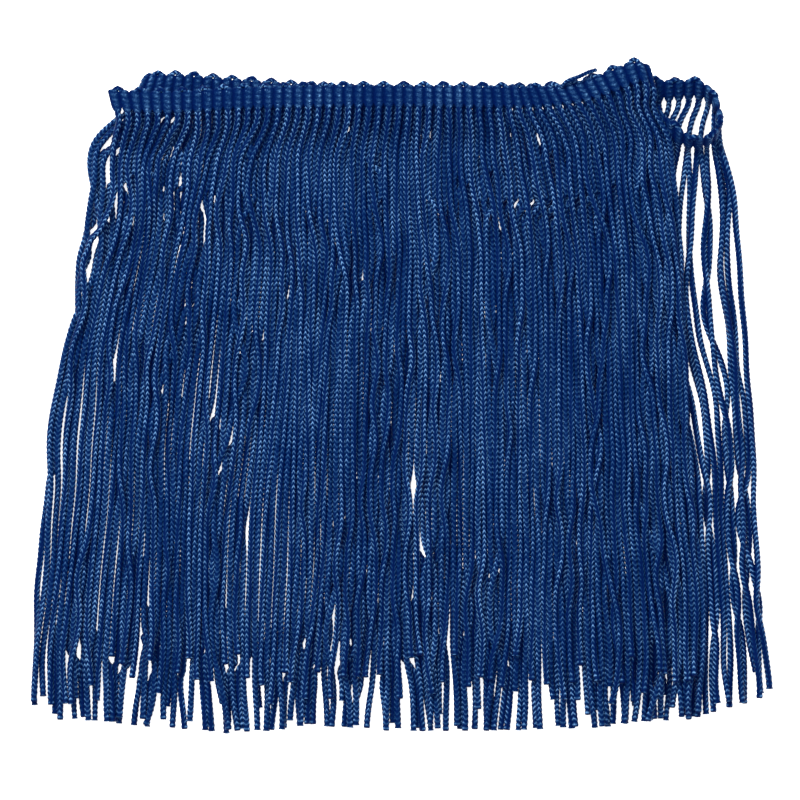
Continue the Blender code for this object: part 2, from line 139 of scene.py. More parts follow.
# Each run of the heading between its folds: the CAD node that its cords replace, the depths that the drift
# columns stand for, the y that the cords reach, or None for the hem line, how much that varies, their facets
# and their columns of stitches round, and their drift
Run = namedtuple("Run", "node depths reach ragged sides around drifts")
RUNS = (
    Run(
        node="fringe_run_1", depths=(0, 5, 9, 14, 22, 34, 60, 96, 140), reach=-70.5, ragged=6.5,
        sides=12, around=3,
        drifts=(
            Drift(-69.3, (0, 0.8, 1.2, 1.6, 0.3, -5.5, -10.0, -14.0, -17.0)),
            Drift(-66.5, (0, 0.2, 0.4, 0.8, 1.4, -0.5, -6.5, -12.0, -16.5)),
            Drift(-60.5, (0, 0.0, -0.5, -1.5, -3.5, -5.0, -9.0, -12.5, -15.0)),
            Drift(-54.0, (0, -1.2, -3.2, -5.5, -8.8, -10.5, -12.0, -13.0, -13.5)),
            Drift(-51.0, (0, 1.6, 2.6, 4.0, 0.0, -4.0, -8.0, -11.0, -13.0)),
            Drift(-45.0, (0, 1.5, 1.9, 0.5, -4.8, -7.0, -8.5, -10.0, -11.5)),
            Drift(-40.0, (0, 0.7, 1.0, 0.0, -4.5, -7.5, -8.0, -9.0, -10.4)),
            Drift(-36.5, (0, 0.4, 0.5, -1.0, -3.5, -5.0, -6.0, -8.0, -9.5)),
            Drift(-33.0, (0, 0.0, -0.5, -1.5, -3.0, -1.5, -3.0, -6.0, -8.8)),
            Drift(-15.0, (0, 0.0, 0.0, -0.2, -0.3, -0.5, -1.5, -3.0, -4.7)),
            Drift(5.0, (0, 0.0, 0.0, 0.0, 0.2, 0.3, 0.3, 0.3, 0.3)),
            Drift(26.0, (0, 1.2, 2.2, 4.0, 6.3, 7.3, 6.5, 5.5, 5.0)),
            Drift(31.5, (0, 3.0, 5.5, 8.0, 10.3, 10.8, 9.5, 8.0, 7.0)),
            Drift(36.0, (0, 3.6, 6.0, 8.0, 9.5, 9.5, 9.0, 8.8, 8.5)),
            Drift(45.0, (0, 3.2, 5.7, 6.8, 7.0, 7.0, 7.5, 8.5, 9.5)),
            Drift(52.0, (0, 2.2, 3.2, 3.8, 4.5, 6.0, 7.5, 9.5, 11.0)),
            Drift(58.0, (0, 0.0, 0.0, 0.0, 1.0, 4.0, 7.0, 10.0, 12.0)),
            Drift(63.5, (0, -1.2, -2.3, -2.8, -1.0, 3.0, 7.0, 10.5, 13.0)),
        ),
    ),
    Run(
        node="fringe_run_2", depths=(0, 5, 9, 18, 45, 90, 140), reach=None, ragged=10.0, sides=9, around=3,
        drifts=(
            Drift(-65.0, (0, -4.7, -6.8, -10.4, -14.6, -21.8, -26.6)),
            Drift(-58.0, (0, -4.4, -7.0, -10.4, -12.9, -18.6, -22.8)),
            Drift(-48.0, (0, -0.5, -1.8, -4.2, -9.0, -14.5, -17.5)),
            Drift(-25.0, (0, 0.0, 0.0, -1.5, -5.0, -8.5, -10.0)),
            Drift(0.0, (0, 0.0, 0.0, 0.0, -1.5, -2.5, -3.0)),
            Drift(30.0, (0, 0.5, 1.0, 2.0, 2.0, 2.0, 3.0)),
            Drift(50.0, (0, 1.0, 2.0, 3.0, 4.0, 5.5, 7.5)),
            Drift(63.0, (0, -1.0, -1.5, 0.0, 4.0, 8.0, 12.0)),
        ),
    ),
    Run(
        node="fringe_run_3", depths=(0, 5, 9, 18, 45, 68, 90, 140), reach=None, ragged=7.0, sides=8, around=2,
        drifts=(
            Drift(-66.0, (0, -4.8, -7.0, -11.2, -16.6, -20.0, -24.0, -29.2)),
            Drift(-58.0, (0, -4.6, -7.4, -11.6, -14.9, -18.8, -22.0, -26.4)),
            Drift(-48.0, (0, -2.2, -4.0, -7.0, -11.5, -16.0, -18.0, -21.0)),
            Drift(-30.0, (0, -0.5, -1.0, -3.5, -8.0, -11.0, -13.0, -15.0)),
            Drift(0.0, (0, 0.0, 0.0, -0.5, -2.5, -4.0, -5.0, -6.0)),
            Drift(30.0, (0, 0.3, 0.5, 0.5, 0.5, 0.0, 0.0, 0.0)),
            Drift(60.0, (0, 0.0, 0.0, 0.5, 2.0, 3.5, 5.0, 7.0)),
            Drift(70.0, (0, -0.8, -1.5, -3.5, -3.0, 0.5, 4.0, 7.0)),
            Drift(75.0, (0, -0.3, -0.8, -2.5, -1.5, 2.0, 5.0, 9.0)),
            Drift(78.5, (0, 0.4, 1.0, 2.0, 3.0, 5.0, 7.0, 10.5)),
            Drift(80.0, (0, 1.2, 2.6, 5.4, 7.4, 7.6, 8.4, 11.6)),
        ),
    ),
    Run(
        node="fringe_run_4", depths=(0, 5, 9, 18, 45, 90, 140), reach=None, ragged=7.0, sides=8, around=2,
        drifts=(
            Drift(44.0, (0, 0.0, 0.0, 0.0, 1.0, 2.0, 3.0)),
            Drift(62.0, (0, -0.5, -1.0, -1.0, 0.0, 3.0, 5.0)),
            Drift(72.0, (0, -2.0, -3.6, -4.5, -3.0, 3.0, 7.0)),
            Drift(77.0, (0, -1.6, -2.4, -1.5, -0.5, 5.0, 9.0)),
            Drift(80.0, (0, 0.5, 1.0, 3.0, 3.5, 6.5, 10.5)),
        ),
    ),
)

# The lowest line that the cords' ends reach: x and y
HEM_LINE = (
    (-91.0, -78.2), (-84.8, -80.4), (-69.8, -81.4), (-51.4, -82.8), (-40.0, -83.6), (-28.5, -82.7),
    (-22.3, -82.0), (0.3, -83.1), (25.0, -83.2), (50.0, -82.1), (72.8, -80.0), (85.0, -77.8), (91.0, -73.5),
)

# The loose tail of binding yarn above the heading: x, y, z along its middle, as in the part's source, and the
# point inside the heading from which it comes
YARN_END_ROUTE = ((41.6, 78.6, 9.6), (44.6, 79.8, 9.9), (47.2, 81.0, 9.4), (49.0, 81.6, 8.8))
YARN_END_ROOT = (40.2, 76.9, 7.6)
YARN_END_RADIUS = 0.55
YARN_END_SIDES = 9
YARN_END_STITCH = 0.8
YARN_END_TONE = 0.3


def smooth_step(value, start, end):
    """From 0 at the start to 1 at the end, level at both."""
    t = np.clip((value - start) / (end - start), 0.0, 1.0)
    return t * t * (3 - 2 * t)


def unit(vectors):
    """The vectors at length 1."""
    return vectors / np.maximum(np.linalg.norm(vectors, axis=-1, keepdims=True), 1e-12)


def curve_through(rows):
    """A smooth curve through every row, paced by the distance between rows so that it makes no loops."""
    rows = np.array(rows, float)
    gaps = np.sqrt(np.linalg.norm(np.diff(rows[:, :3], axis=0), axis=1))
    knots = np.concatenate([[0.0], np.cumsum(gaps)])
    slopes = np.gradient(rows, knots, axis=0)
    t = np.arange(CURVE_STEPS)[:, None] / CURVE_STEPS
    spans = [
        (1 + 2 * t) * (1 - t) ** 2 * rows[i] + t * (1 - t) ** 2 * gaps[i] * slopes[i]
        + t * t * (3 - 2 * t) * rows[i + 1] + t * t * (t - 1) * gaps[i] * slopes[i + 1]
        for i in range(len(rows) - 1)
    ]
    return np.concatenate([*spans, rows[-1:]])


class Heading:
    """The heading's lower edge as a function of the length along the trim, in millimetres."""

    def __init__(self, stations):
        self.samples = curve_through(stations)
        steps = np.linalg.norm(np.diff(self.samples[:, :3], axis=0), axis=1)
        self.lengths = np.concatenate([[0.0], np.cumsum(steps)])

    def rows(self, lengths):
        """The stations' five numbers at these lengths."""
        return np.stack([np.interp(lengths, self.lengths, column) for column in self.samples.T], axis=-1)

    def frames(self, lengths):
        """Points on the lower edge, and the ways along, up the ribs and out of the face, at these lengths."""
        lengths = np.asarray(lengths, float)
        rows = self.rows(lengths)
        rows[:, 2] = np.maximum(rows[:, 2], RIB_THICKNESS / 2)
        ahead, behind = self.rows(lengths + TANGENT_REACH), self.rows(lengths - TANGENT_REACH)
        along = unit(ahead[:, :3] - behind[:, :3])
        lean, tilt = np.radians(rows[:, 3]), np.radians(np.maximum(rows[:, 4], 0.0))
        up = np.stack([-np.sin(lean) * np.cos(tilt), np.cos(lean) * np.cos(tilt), np.sin(tilt)], axis=-1)
        return rows[:, :3], along, up, unit(np.cross(along, up))

    def turns(self):
        """The lengths at which the path folds back on itself."""
        directions = np.sign(np.diff(self.samples[:, 0]))
        return self.lengths[1:-1][np.diff(directions) != 0]


HEADING = Heading(HEADING_PATH)


# ------------------------------------------------------------------------------------------ how the cords lie

# A place where the cords of every layer lie parted: x, y of its middle, and its half width and half length
Parting = namedtuple("Parting", "x y width length")
PARTINGS = (
    Parting(x=-73.5, y=59.6, width=1.2, length=4.0),
    Parting(x=-58.5, y=59.6, width=1.0, length=3.0),
    Parting(x=-55.0, y=52.1, width=1.0, length=5.0),
    Parting(x=-48.8, y=43.4, width=1.0, length=5.0),
    Parting(x=-75.8, y=41.1, width=1.0, length=4.0),
    Parting(x=-78.0, y=33.4, width=1.0, length=5.0),
    Parting(x=-52.8, y=22.9, width=1.0, length=4.0),
    Parting(x=41.5, y=60.9, width=1.0, length=2.5),
)
PARTING_PUSH = 0.5
PARTED_DEPTH = 6.0

# The level rows of the surface on which cords are spaced and piled, the most crossings that one row holds,
# and how far above the heading's lower edge its own crossings start
ROW_PITCH = 0.8
TOP_ROW = 86.0
ROW_COUNT = 214
ROWS_Y = TOP_ROW - ROW_PITCH * np.arange(ROW_COUNT)
MOST_A_ROW = 1200
FAR_AWAY = 1e6
LOWEST_ROW_UP = 0.5

# How close cords lie: on each other, and side by side in one layer, with the rounds of evening out in the
# upper two runs and in the lower two
CORD_PITCH = 1.45
LEAST_SPACING = 1.35
UPPER_EVENING = 40
LOWER_EVENING = 9

# A lower cord slides under a gap wider than this from up to the reach away, wider gaps first, by no more than
# the most at each row, and less and less from above the slide's end down to it
GAP_WIDTH = 1.6
GAP_REACH = 4.0
GAP_URGENCY = 3.0
MOST_SLIDE = 0.7
SLIDE_END = -74.0
SLIDE_FADE = 10.0

# Depths below the heading: where a cord stops running straight on from its rib, lies on the cords below, is
# spaced evenly with its neighbours, starts to sway and sways freely, and the step between a cord's points
STRAIGHT_DEPTH = 5.0
SETTLED_DEPTH = 9.0
EVEN_DEPTH = 12.0
SWAY_DEPTH = 2.0
LOOSE_DEPTH = 22.0
DEPTH_STEP = 0.6

# The steps over which a course or a height is smoothed, and how far off a cord rises for what lies below
SMOOTHING = 4.0
HEIGHT_SPREAD = 2

# The cords from here on to the right hang free, and take up an even spacing only over these depths
FREE_FROM = 69.0
FREE_DEPTH = (50.0, 85.0)

# The cut ends: how far they splay, over what length, how much further their spacing goes on, and how seldom
# one is short
END_SPLAY = 1.1
SPLAYED_LENGTH = 22.0
END_MARGIN = 4.0
SHORT_RARITY = 6

# Sideways movements: of the whole fringe, of one run, of each cord, of a stray cord and of a free one
SHARED_SWAY = {"size": 0.6, "across": (24.0, 60.0), "along": (50.0, 120.0)}
RUN_SWAY = {"size": 0.3, "across": (8.0, 20.0), "along": (28.0, 70.0)}
CORD_SWAY = {"size": 0.18, "across": (50.0, 90.0), "along": (14.0, 40.0), "count": 3}
STRAY_SWAY = {"size": 2.0, "across": (50.0, 90.0), "along": (50.0, 110.0), "count": 2}
STRAY_SHARE = 0.06
FREE_SWAY = {"size": 0.5, "across": (50.0, 90.0), "along": (30.0, 75.0), "count": 3}

# A cord as placed: its run, the points along its middle and a number of its own from 0 to 1
Cord = namedtuple("Cord", "run points tone")


@dataclass
class Plan:
    """A cord before it is laid: run, root, the way up its rib, the y of its end and its x on each row."""

    run: Run
    root: np.ndarray
    up: np.ndarray
    end: float
    xs: np.ndarray


class Sway:
    """A smooth sideways movement of neighbouring cords together, as a sum of slanting waves."""

    def __init__(self, rng, size, across, along, count=7):
        self.size = size / math.sqrt(count / 2)
        self.waves = [
            (
                rng.choice((-1, 1)) * math.tau / rng.uniform(*across),
                math.tau / rng.uniform(*along),
                rng.uniform(0, math.tau),
            )
            for _ in range(count)
        ]

    def __call__(self, x, y):
        return self.size * sum(np.sin(a * x + b * y + phase) for a, b, phase in self.waves)


def parted(x, y):
    """How far the partings push a cord at x, y sideways."""
    push = np.zeros_like(x)
    for place in PARTINGS:
        aside = (x - place.x) / place.width
        near = np.exp(0.5 - aside ** 2 / 2) * np.exp(-(((y - place.y) / place.length) ** 2))
        push += PARTING_PUSH * aside * near
    return push


def spread_apart(places, least, evening):
    """The places in their order, with neighbours at least this far apart, then drawn towards even gaps."""
    order = np.argsort(places, kind="stable")
    apart = np.arange(len(places)) * least
    wanted = np.asarray(places)[order] - apart
    forward = np.maximum.accumulate(wanted)
    backward = np.minimum.accumulate(wanted[::-1])[::-1]
    spread = (forward + backward) / 2 + apart
    for _ in range(evening):
        spread[1:-1] += (spread[:-2] + spread[2:] - 2 * spread[1:-1]) / 4
    result = np.empty(len(places))
    result[order] = spread
    return result


def blurred(values, sigma):
    """The values smoothed by a bell of this many steps."""
    reach = int(math.ceil(3 * sigma))
    bell = np.exp(-0.5 * (np.arange(-reach, reach + 1) / sigma) ** 2)
    padded = np.pad(values, reach, mode="edge")
    return np.convolve(padded, bell / bell.sum(), mode="valid")


class Pile:
    """The cords placed so far, as their crossings with level rows of the surface."""

    def __init__(self):
        self.x = np.full((ROW_COUNT, MOST_A_ROW), FAR_AWAY)
        self.z = np.zeros((ROW_COUNT, MOST_A_ROW))
        self.used = np.zeros(ROW_COUNT, int)

    def row(self, y):
        """The row nearest to each y."""
        return np.clip(np.round((TOP_ROW - y) / ROW_PITCH).astype(int), 0, ROW_COUNT - 1)

    def add(self, x, y, z):
        """Takes in one crossing."""
        row = self.row(np.asarray(y))
        self.x[row, self.used[row]] = x
        self.z[row, self.used[row]] = z
        self.used[row] += 1

    def add_route(self, points):
        """Takes in a route that runs down the rows."""
        down = points[::-1]
        for y in ROWS_Y[(ROWS_Y >= down[0, 1]) & (ROWS_Y <= down[-1, 1])]:
            self.add(np.interp(y, down[:, 1], down[:, 0]), y, np.interp(y, down[:, 1], down[:, 2]))

    def add_heading(self, lengths):
        """Takes in the heading's upper side along a run, which cords of the runs above lie over."""
        points, _, up, out = HEADING.frames(lengths)
        for height in np.arange(LOWEST_ROW_UP, HEADING_HEIGHT, ROW_PITCH):
            for point in points + up * height + np.abs(out) * (RIB_THICKNESS / 2 - CORD_RADIUS):
                self.add(*point)

    def height(self, x, y):
        """The lowest that a cord can lie at each of these points: on the surface or on the cords below."""
        row = self.row(y)
        most = max(1, self.used.max())
        apart = np.abs(self.x[row, :most] - x[:, None])
        rise = self.z[row, :most] + np.sqrt(np.maximum(CORD_PITCH ** 2 - apart ** 2, 0.0))
        return np.maximum(np.where(apart < CORD_PITCH, rise, 0.0).max(axis=1), CORD_RADIUS)


def root_lengths():
    """The length along the trim of every cord, shared out to the runs by the folds between them."""
    edges = [0.0, *HEADING.turns(), CUT_LENGTH]
    places = (np.arange(RIB_COUNT) + 0.5) * RIB_PITCH
    return [places[(places > start) & (places <= end)] for start, end in zip(edges, edges[1:])]


def drifted(run, root_x, depths):
    """The sideways drift of the cord from root_x at these depths, between the run's columns."""
    stations = [drift.root_x for drift in run.drifts]
    columns = np.array([drift.at_depths for drift in run.drifts]).T
    at_depths = [np.interp(root_x, stations, column) for column in columns]
    rows = curve_through([(depth, drift, 0.0) for depth, drift in zip(run.depths, at_depths)])
    return np.interp(depths, rows[:, 0], rows[:, 1])


def end_height(run, x, rng):
    """The y that a cord of this run ends at."""
    if run.reach is not None:
        return run.reach + rng.uniform(-run.ragged, run.ragged)
    hem = np.interp(x, *zip(*HEM_LINE))
    return hem + rng.random() ** SHORT_RARITY * run.ragged


def plan_run(run, lengths, shared, rng):
    """The plans of a run's cords, each drifting and swaying on its own course to its end."""
    roots, _, ups, _ = HEADING.frames(lengths)
    own = Sway(rng, **RUN_SWAY)
    plans = []
    for root, up in zip(roots, ups):
        depths = np.maximum(root[1] - ROWS_Y, 0.0)
        waver = Sway(rng, **CORD_SWAY)
        stray = Sway(rng, **STRAY_SWAY)
        curl = Sway(rng, **FREE_SWAY)
        loose = smooth_step(depths, SWAY_DEPTH, LOOSE_DEPTH)
        x = root[0] + drifted(run, root[0], depths)
        moved = shared(x, ROWS_Y) + own(x, ROWS_Y) + waver(x, ROWS_Y)
        if rng.random() < STRAY_SHARE:
            moved = moved + stray(x, ROWS_Y) - stray(x[:1], ROWS_Y[:1])
        if root[0] > FREE_FROM:
            moved = moved + curl(x, ROWS_Y)
        end = end_height(run, x[-1], rng)
        near_end = smooth_step(end + SPLAYED_LENGTH - ROWS_Y, 0.0, SPLAYED_LENGTH)
        splay = rng.uniform(-END_SPLAY, END_SPLAY) * near_end
        plans.append(Plan(run, root, up, end, x + loose * moved + splay))
    return plans


def share_rows(plans, evening):
    """Keeps the cords of these plans from lying on one another for long, and evens out the gaps."""
    xs = np.array([plan.xs for plan in plans])
    roots = np.array([plan.root[1] for plan in plans])
    free = np.array([plan.root[0] > FREE_FROM for plan in plans])
    ends = np.array([plan.end for plan in plans])
    for k, y in enumerate(ROWS_Y):
        depths = roots - y
        here = (depths > np.where(free, FREE_DEPTH[0], STRAIGHT_DEPTH / 2)) & (y > ends - END_MARGIN)
        grip = smooth_step(depths, STRAIGHT_DEPTH / 2, EVEN_DEPTH)
        grip = grip * smooth_step(y - ends, 0.0, SPLAYED_LENGTH)
        grip = (grip * np.where(free, smooth_step(depths, *FREE_DEPTH), 1.0))[here]
        rounds = evening if depths.max() > LOOSE_DEPTH else evening // 3
        xs[here, k] += (spread_apart(xs[here, k], LEAST_SPACING, rounds) - xs[here, k]) * grip
    for plan, x, root in zip(plans, xs, roots):
        below = ROWS_Y < root
        x[below] = blurred(x[below], SMOOTHING)
        plan.xs = x


def gap_places(above):
    """Where a cord would fill each wide gap between the places above, and how wide that gap is."""
    gaps = np.diff(above)
    places, widths = [], []
    for gap in np.flatnonzero(gaps > GAP_WIDTH):
        count = max(1, int(gaps[gap] / CORD_PITCH))
        places.extend(above[gap] + gaps[gap] * np.arange(1, count + 1) / (count + 1))
        widths.extend([gaps[gap]] * count)
    return np.array(places), np.array(widths)


def fill_gaps(upper, lower, deepest=math.inf):
    """Lets the cords of the lower plans slide, row by row, under the gaps between the upper ones."""
    roots = np.array([plan.root[1] for plan in upper])
    ends = np.array([plan.end for plan in upper])
    over = np.array([plan.xs for plan in upper])
    under = np.array([plan.xs for plan in lower])
    under_roots = np.array([plan.root[1] for plan in lower])
    slid = np.zeros(len(lower))
    for k, y in enumerate(ROWS_Y):
        above = np.sort(over[(roots > y) & (y > ends), k])
        places, widths = gap_places(above)
        wanted = np.zeros(len(lower))
        if len(places):
            inside = (under[:, k] > above[0]) & (under[:, k] < above[-1])
            spare = np.flatnonzero(inside & (under_roots > y) & (under_roots - y < deepest))
            apart = np.abs(under[spare, k] + slid[spare] - places[:, None])
            cost = np.where(apart < GAP_REACH, apart - GAP_URGENCY * widths[:, None], np.inf)
            while cost.size and cost.min() < np.inf:
                place, cord = np.unravel_index(np.argmin(cost), cost.shape)
                wanted[spare[cord]] = places[place] - under[spare[cord], k]
                cost[place], cost[:, cord] = np.inf, np.inf
        most = MOST_SLIDE * smooth_step(y, SLIDE_END, SLIDE_END + SLIDE_FADE)
        slid += np.clip(wanted - slid, -most, most) * (under_roots > y)
        under[:, k] += slid
    for plan, x in zip(lower, under):
        plan.xs = x


def part_rows(plans):
    """Pushes the cords of these plans away from the partings."""
    for plan in plans:
        loose = smooth_step(plan.root[1] - ROWS_Y, 0.0, PARTED_DEPTH)
        plan.xs = plan.xs + loose * parted(plan.xs, ROWS_Y)


def settle(pile, plan):
    """A cord's points: straight out of the heading, then down onto what lies below it."""
    root = plan.root
    depths = np.arange(0.0, root[1] - plan.end, DEPTH_STEP)
    x = np.interp(root[1] - depths, ROWS_Y[::-1], plan.xs[::-1])
    x += (root[0] - x[0]) * (1 - smooth_step(depths, 0.0, SETTLED_DEPTH))
    straight = root - plan.up * depths[:, None]
    leave = smooth_step(depths, 0.0, STRAIGHT_DEPTH)[:, None]
    points = np.stack([x, root[1] - depths, np.zeros(len(x))], axis=-1)
    points[:, :2] = straight[:, :2] + (points[:, :2] - straight[:, :2]) * leave
    floor = pile.height(points[:, 0], points[:, 1])
    floor = np.maximum.reduce([floor, np.roll(floor, HEIGHT_SPREAD), np.roll(floor, -HEIGHT_SPREAD)])
    floor = blurred(floor, SMOOTHING)
    points[:, 2] = straight[:, 2] + (floor - straight[:, 2]) * smooth_step(depths, 0.0, SETTLED_DEPTH)
    points[:, 2] = np.maximum(points[:, 2], CORD_RADIUS)
    return points


def lay_cords():
    """Every cord of the trim, laid from the lowest run to the uppermost."""
    rng = random.Random(SEED)
    shared = Sway(rng, **SHARED_SWAY)
    lengths = root_lengths()
    first, second, third, fourth = (plan_run(run, own, shared, rng) for run, own in zip(RUNS, lengths))
    share_rows(first + second, UPPER_EVENING)
    share_rows(third + fourth, LOWER_EVENING)
    fill_gaps(first, second, deepest=LOOSE_DEPTH)
    fill_gaps(first + second, third + fourth)
    part_rows(first + second + third + fourth)
    pile = Pile()
    cords = []
    for plans, own in zip((fourth, third, second, first), reversed(lengths)):
        rng.shuffle(plans)
        for plan in plans:
            points = settle(pile, plan)
            pile.add_route(points)
            tail = plan.root + plan.up * (CORD_REACH_INTO_HEADING + rng.random() * STITCH)
            cords.append(Cord(plan.run, np.concatenate([[tail], points]), rng.random()))
        pile.add_heading(own)
    return cords


def frame_offset():
    """Where the tables' zero lies in the frame: the yarn end's box against its route."""
    low, high = (np.array(corner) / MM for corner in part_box("yarn_end"))
    route = np.array(YARN_END_ROUTE)
    middle = (low + high - route.min(axis=0) - route.max(axis=0)) / 2
    return middle * (1, 1, 0)


OFFSET = frame_offset()


# ---------------------------------------------------------------------------------------------- knitted tubes

# Shares of a stitch's length or of the tube's radius: how far a V reaches, how deep the rings between
# stitches and the grooves between their columns lie, how flat the tube is and how wide its two ends are
STITCH_REACH = 0.45
STITCH_DEPTH = 0.2
GROOVE_DEPTH = 0.16
FLATTENING = 0.09
START_WIDTH = 0.75
END_WIDTH = 1.05

# The length over which a tube turns once, and the stitches at its ends that grow from level rings to full Vs
TWIST_LENGTH = (60.0, 200.0)
PLAIN_STITCHES = 2.5

# A mesh being gathered: points, faces of four corners (-1 where a face has only three) and what each point
# carries for the finish: how high it stands on a stitch, which sets its painted shade and painted highlights
# (on the heading also painted side light and painted glints), its length along, and its cord's own number
Patch = namedtuple("Patch", "points faces crest along tone")


def resampled(points, step):
    """Points at equal steps along a line, with the whole of its length covered."""
    lengths = np.concatenate([[0.0], np.cumsum(np.linalg.norm(np.diff(points, axis=0), axis=1))])
    count = max(2, int(round(lengths[-1] / step)))
    places = np.linspace(0.0, lengths[-1], count + 1)
    return places, np.stack([np.interp(places, lengths, column) for column in points.T], axis=-1)


def tube_faces(rings, sides):
    """The faces of an open tube, ring by ring."""
    ring = np.arange(rings - 1)[:, None] * sides
    side = np.arange(sides)[None, :]
    after = (side + 1) % sides
    corners = [ring + side, ring + after, ring + sides + after, ring + sides + side]
    return np.stack([corner.ravel() for corner in corners], axis=-1)


def knit_tube(line, radius, sides, tone, rng, stitch=STITCH, beside=(1.0, 0.0, 0.0), around=2):
    """A tube knitted of stacked V stitches: a raised ring and a sunk ring for each stitch, both zigzag."""
    places, middle = resampled(np.asarray(line, float), stitch / 2)
    rings = len(middle)
    ahead = unit(np.gradient(middle, axis=0))
    beside = np.broadcast_to(np.asarray(beside, float), ahead.shape)
    across = unit(beside - ahead * (beside * ahead).sum(axis=1, keepdims=True))
    over = np.cross(ahead, across)
    turn = rng.uniform(0, math.tau) + rng.choice((-1, 1)) * places * math.tau / rng.uniform(*TWIST_LENGTH)
    column = np.arange(sides)
    angle = turn[:, None] + column * math.tau / sides
    phase = column * around / sides % 1.0
    zigzag = 1 - 2 * np.abs(2 * phase - 1)
    arm = 1 - ((zigzag + 1) / 2) ** 3
    raised = (np.arange(rings) % 2)[:, None]
    size = 1 - GROOVE_DEPTH * (1 - arm) - STITCH_DEPTH * (1 - raised) + FLATTENING * np.cos(2 * angle)
    size[0] *= START_WIDTH
    size[-1] *= END_WIDTH
    clear = np.minimum(places, places[-1] - places)
    reach = STITCH_REACH * stitch * smooth_step(clear, 0.0, PLAIN_STITCHES * stitch)[:, None] * zigzag
    points = (
        middle[:, None] + ahead[:, None] * reach[..., None]
        + radius * size[..., None]
        * (across[:, None] * np.cos(angle)[..., None] + over[:, None] * np.sin(angle)[..., None])
    )
    # How high each point stands on a stitch: 1 on the arms of the raised rings, 0 in the sunk rings and the
    # grooves; the finish paints shade where it is low and highlights where it is high
    crest = raised * arm
    faces = tube_faces(rings, sides)
    first = rings * sides
    points = np.concatenate([points.reshape(-1, 3), middle[:1], middle[-1:]])
    crest = np.concatenate([crest.ravel(), [0.0, 0.0]])
    along = np.concatenate([np.repeat(places, sides), places[[0, -1]]])
    after = (column + 1) % sides
    start = np.stack([np.full(sides, first), after, column, np.full(sides, -1)], axis=-1)
    base = (rings - 1) * sides
    end = np.stack([np.full(sides, first + 1), base + column, base + after, np.full(sides, -1)], axis=-1)
    return Patch(points, np.concatenate([faces, start, end]), crest, along, np.full(len(points), tone))


def joined(patches):
    """Many patches as one."""
    shift = np.cumsum([0] + [len(patch.points) for patch in patches[:-1]])
    faces = [np.where(patch.faces < 0, -1, patch.faces + s) for patch, s in zip(patches, shift)]
    return Patch(
        np.concatenate([patch.points for patch in patches]),
        np.concatenate(faces),
        *(np.concatenate(values) for values in zip(*[patch[2:] for patch in patches])),
    )


def make_piece(name, patch, finish, slot, *nodes):
    """The patch as a mesh object that stands for the nodes, rides on the body and carries its finish."""
    mesh = bpy.data.meshes.new(name)
    faces = [[int(corner) for corner in face if corner >= 0] for face in patch.faces.tolist()]
    mesh.from_pydata(((patch.points + OFFSET) * MM).tolist(), [], faces)
    for key in ("crest", "along", "tone"):
        layer = mesh.attributes.new(key, "FLOAT", "POINT")
        layer.data.foreach_set("value", np.asarray(getattr(patch, key), np.float32))
    mesh.shade_smooth()
    mesh.materials.append(finish)
    piece = bpy.data.objects.new(name, mesh)
    bpy.context.scene.collection.objects.link(piece)
    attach(piece, BODY)
    if nodes:
        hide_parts(*nodes)


# ---------------------------------------------------------------------------------------------- the heading

STEPS_PER_RIB = 8
ROWS_UP = 21

# Between two ribs, how far the face sinks, the lower edge rises and the upper edge dips
VALLEY_DEPTH = 0.75
VALLEY_RISE = 1.3
VALLEY_DIP = 0.6

# How squarely a rib's lower and upper ends round off, and the share of its thickness that is left there
LOWER_BLUNTNESS = 2.5
UPPER_BLUNTNESS = 5.0
END_SHARE = 0.25

# The stitches wrapped round a rib: their pitch up it, how far they stand out and their slant in pitches
WRAP_PITCH = 1.3
WRAP_HEIGHT = 0.22
WRAP_SLANT = 0.4

# How much painted light a rib's middle takes between its stitches, how much more on them, and how much more
# on one side than on the other as painted side light, and the step between ribs' tones
RIB_PAINTED_LIGHT = 0.28
WRAP_PAINTED_LIGHT = 0.28
SIDE_PAINTED_LIGHT = 0.3
TONE_STEP = 12.9898

# A line of painted glints on the stitches up each rib: its place across the rib from 0 to 1, and how bright
Glint = namedtuple("Glint", "place strength")
GLINTS = (Glint(place=0.375, strength=0.15), Glint(place=0.625, strength=0.3))
GLINT_WIDTH = 0.09

# The cord over each pair of ribs along the top: its size, half its width, how high it stands over its feet
# and how square its bend is, and how far below the top it bends and its feet end
LOOP_RADIUS = 0.8
LOOP_STITCH = 1.0
LOOP_SIDES = 8
LOOP_POINTS = 9
LOOP_REACH = 0.9
LOOP_RISE = 0.74
LOOP_BEND = 0.8
LOOP_SINK = 0.5
LOOP_FOOT = 1.2


def scattered(rib, stitch, place):
    """A number from 0 to 1 for each stitch that has no visible link with its neighbours' numbers."""
    return np.sin(rib * 12.99 + stitch * 78.23 + place * 37.7) * 43.76 % 1.0


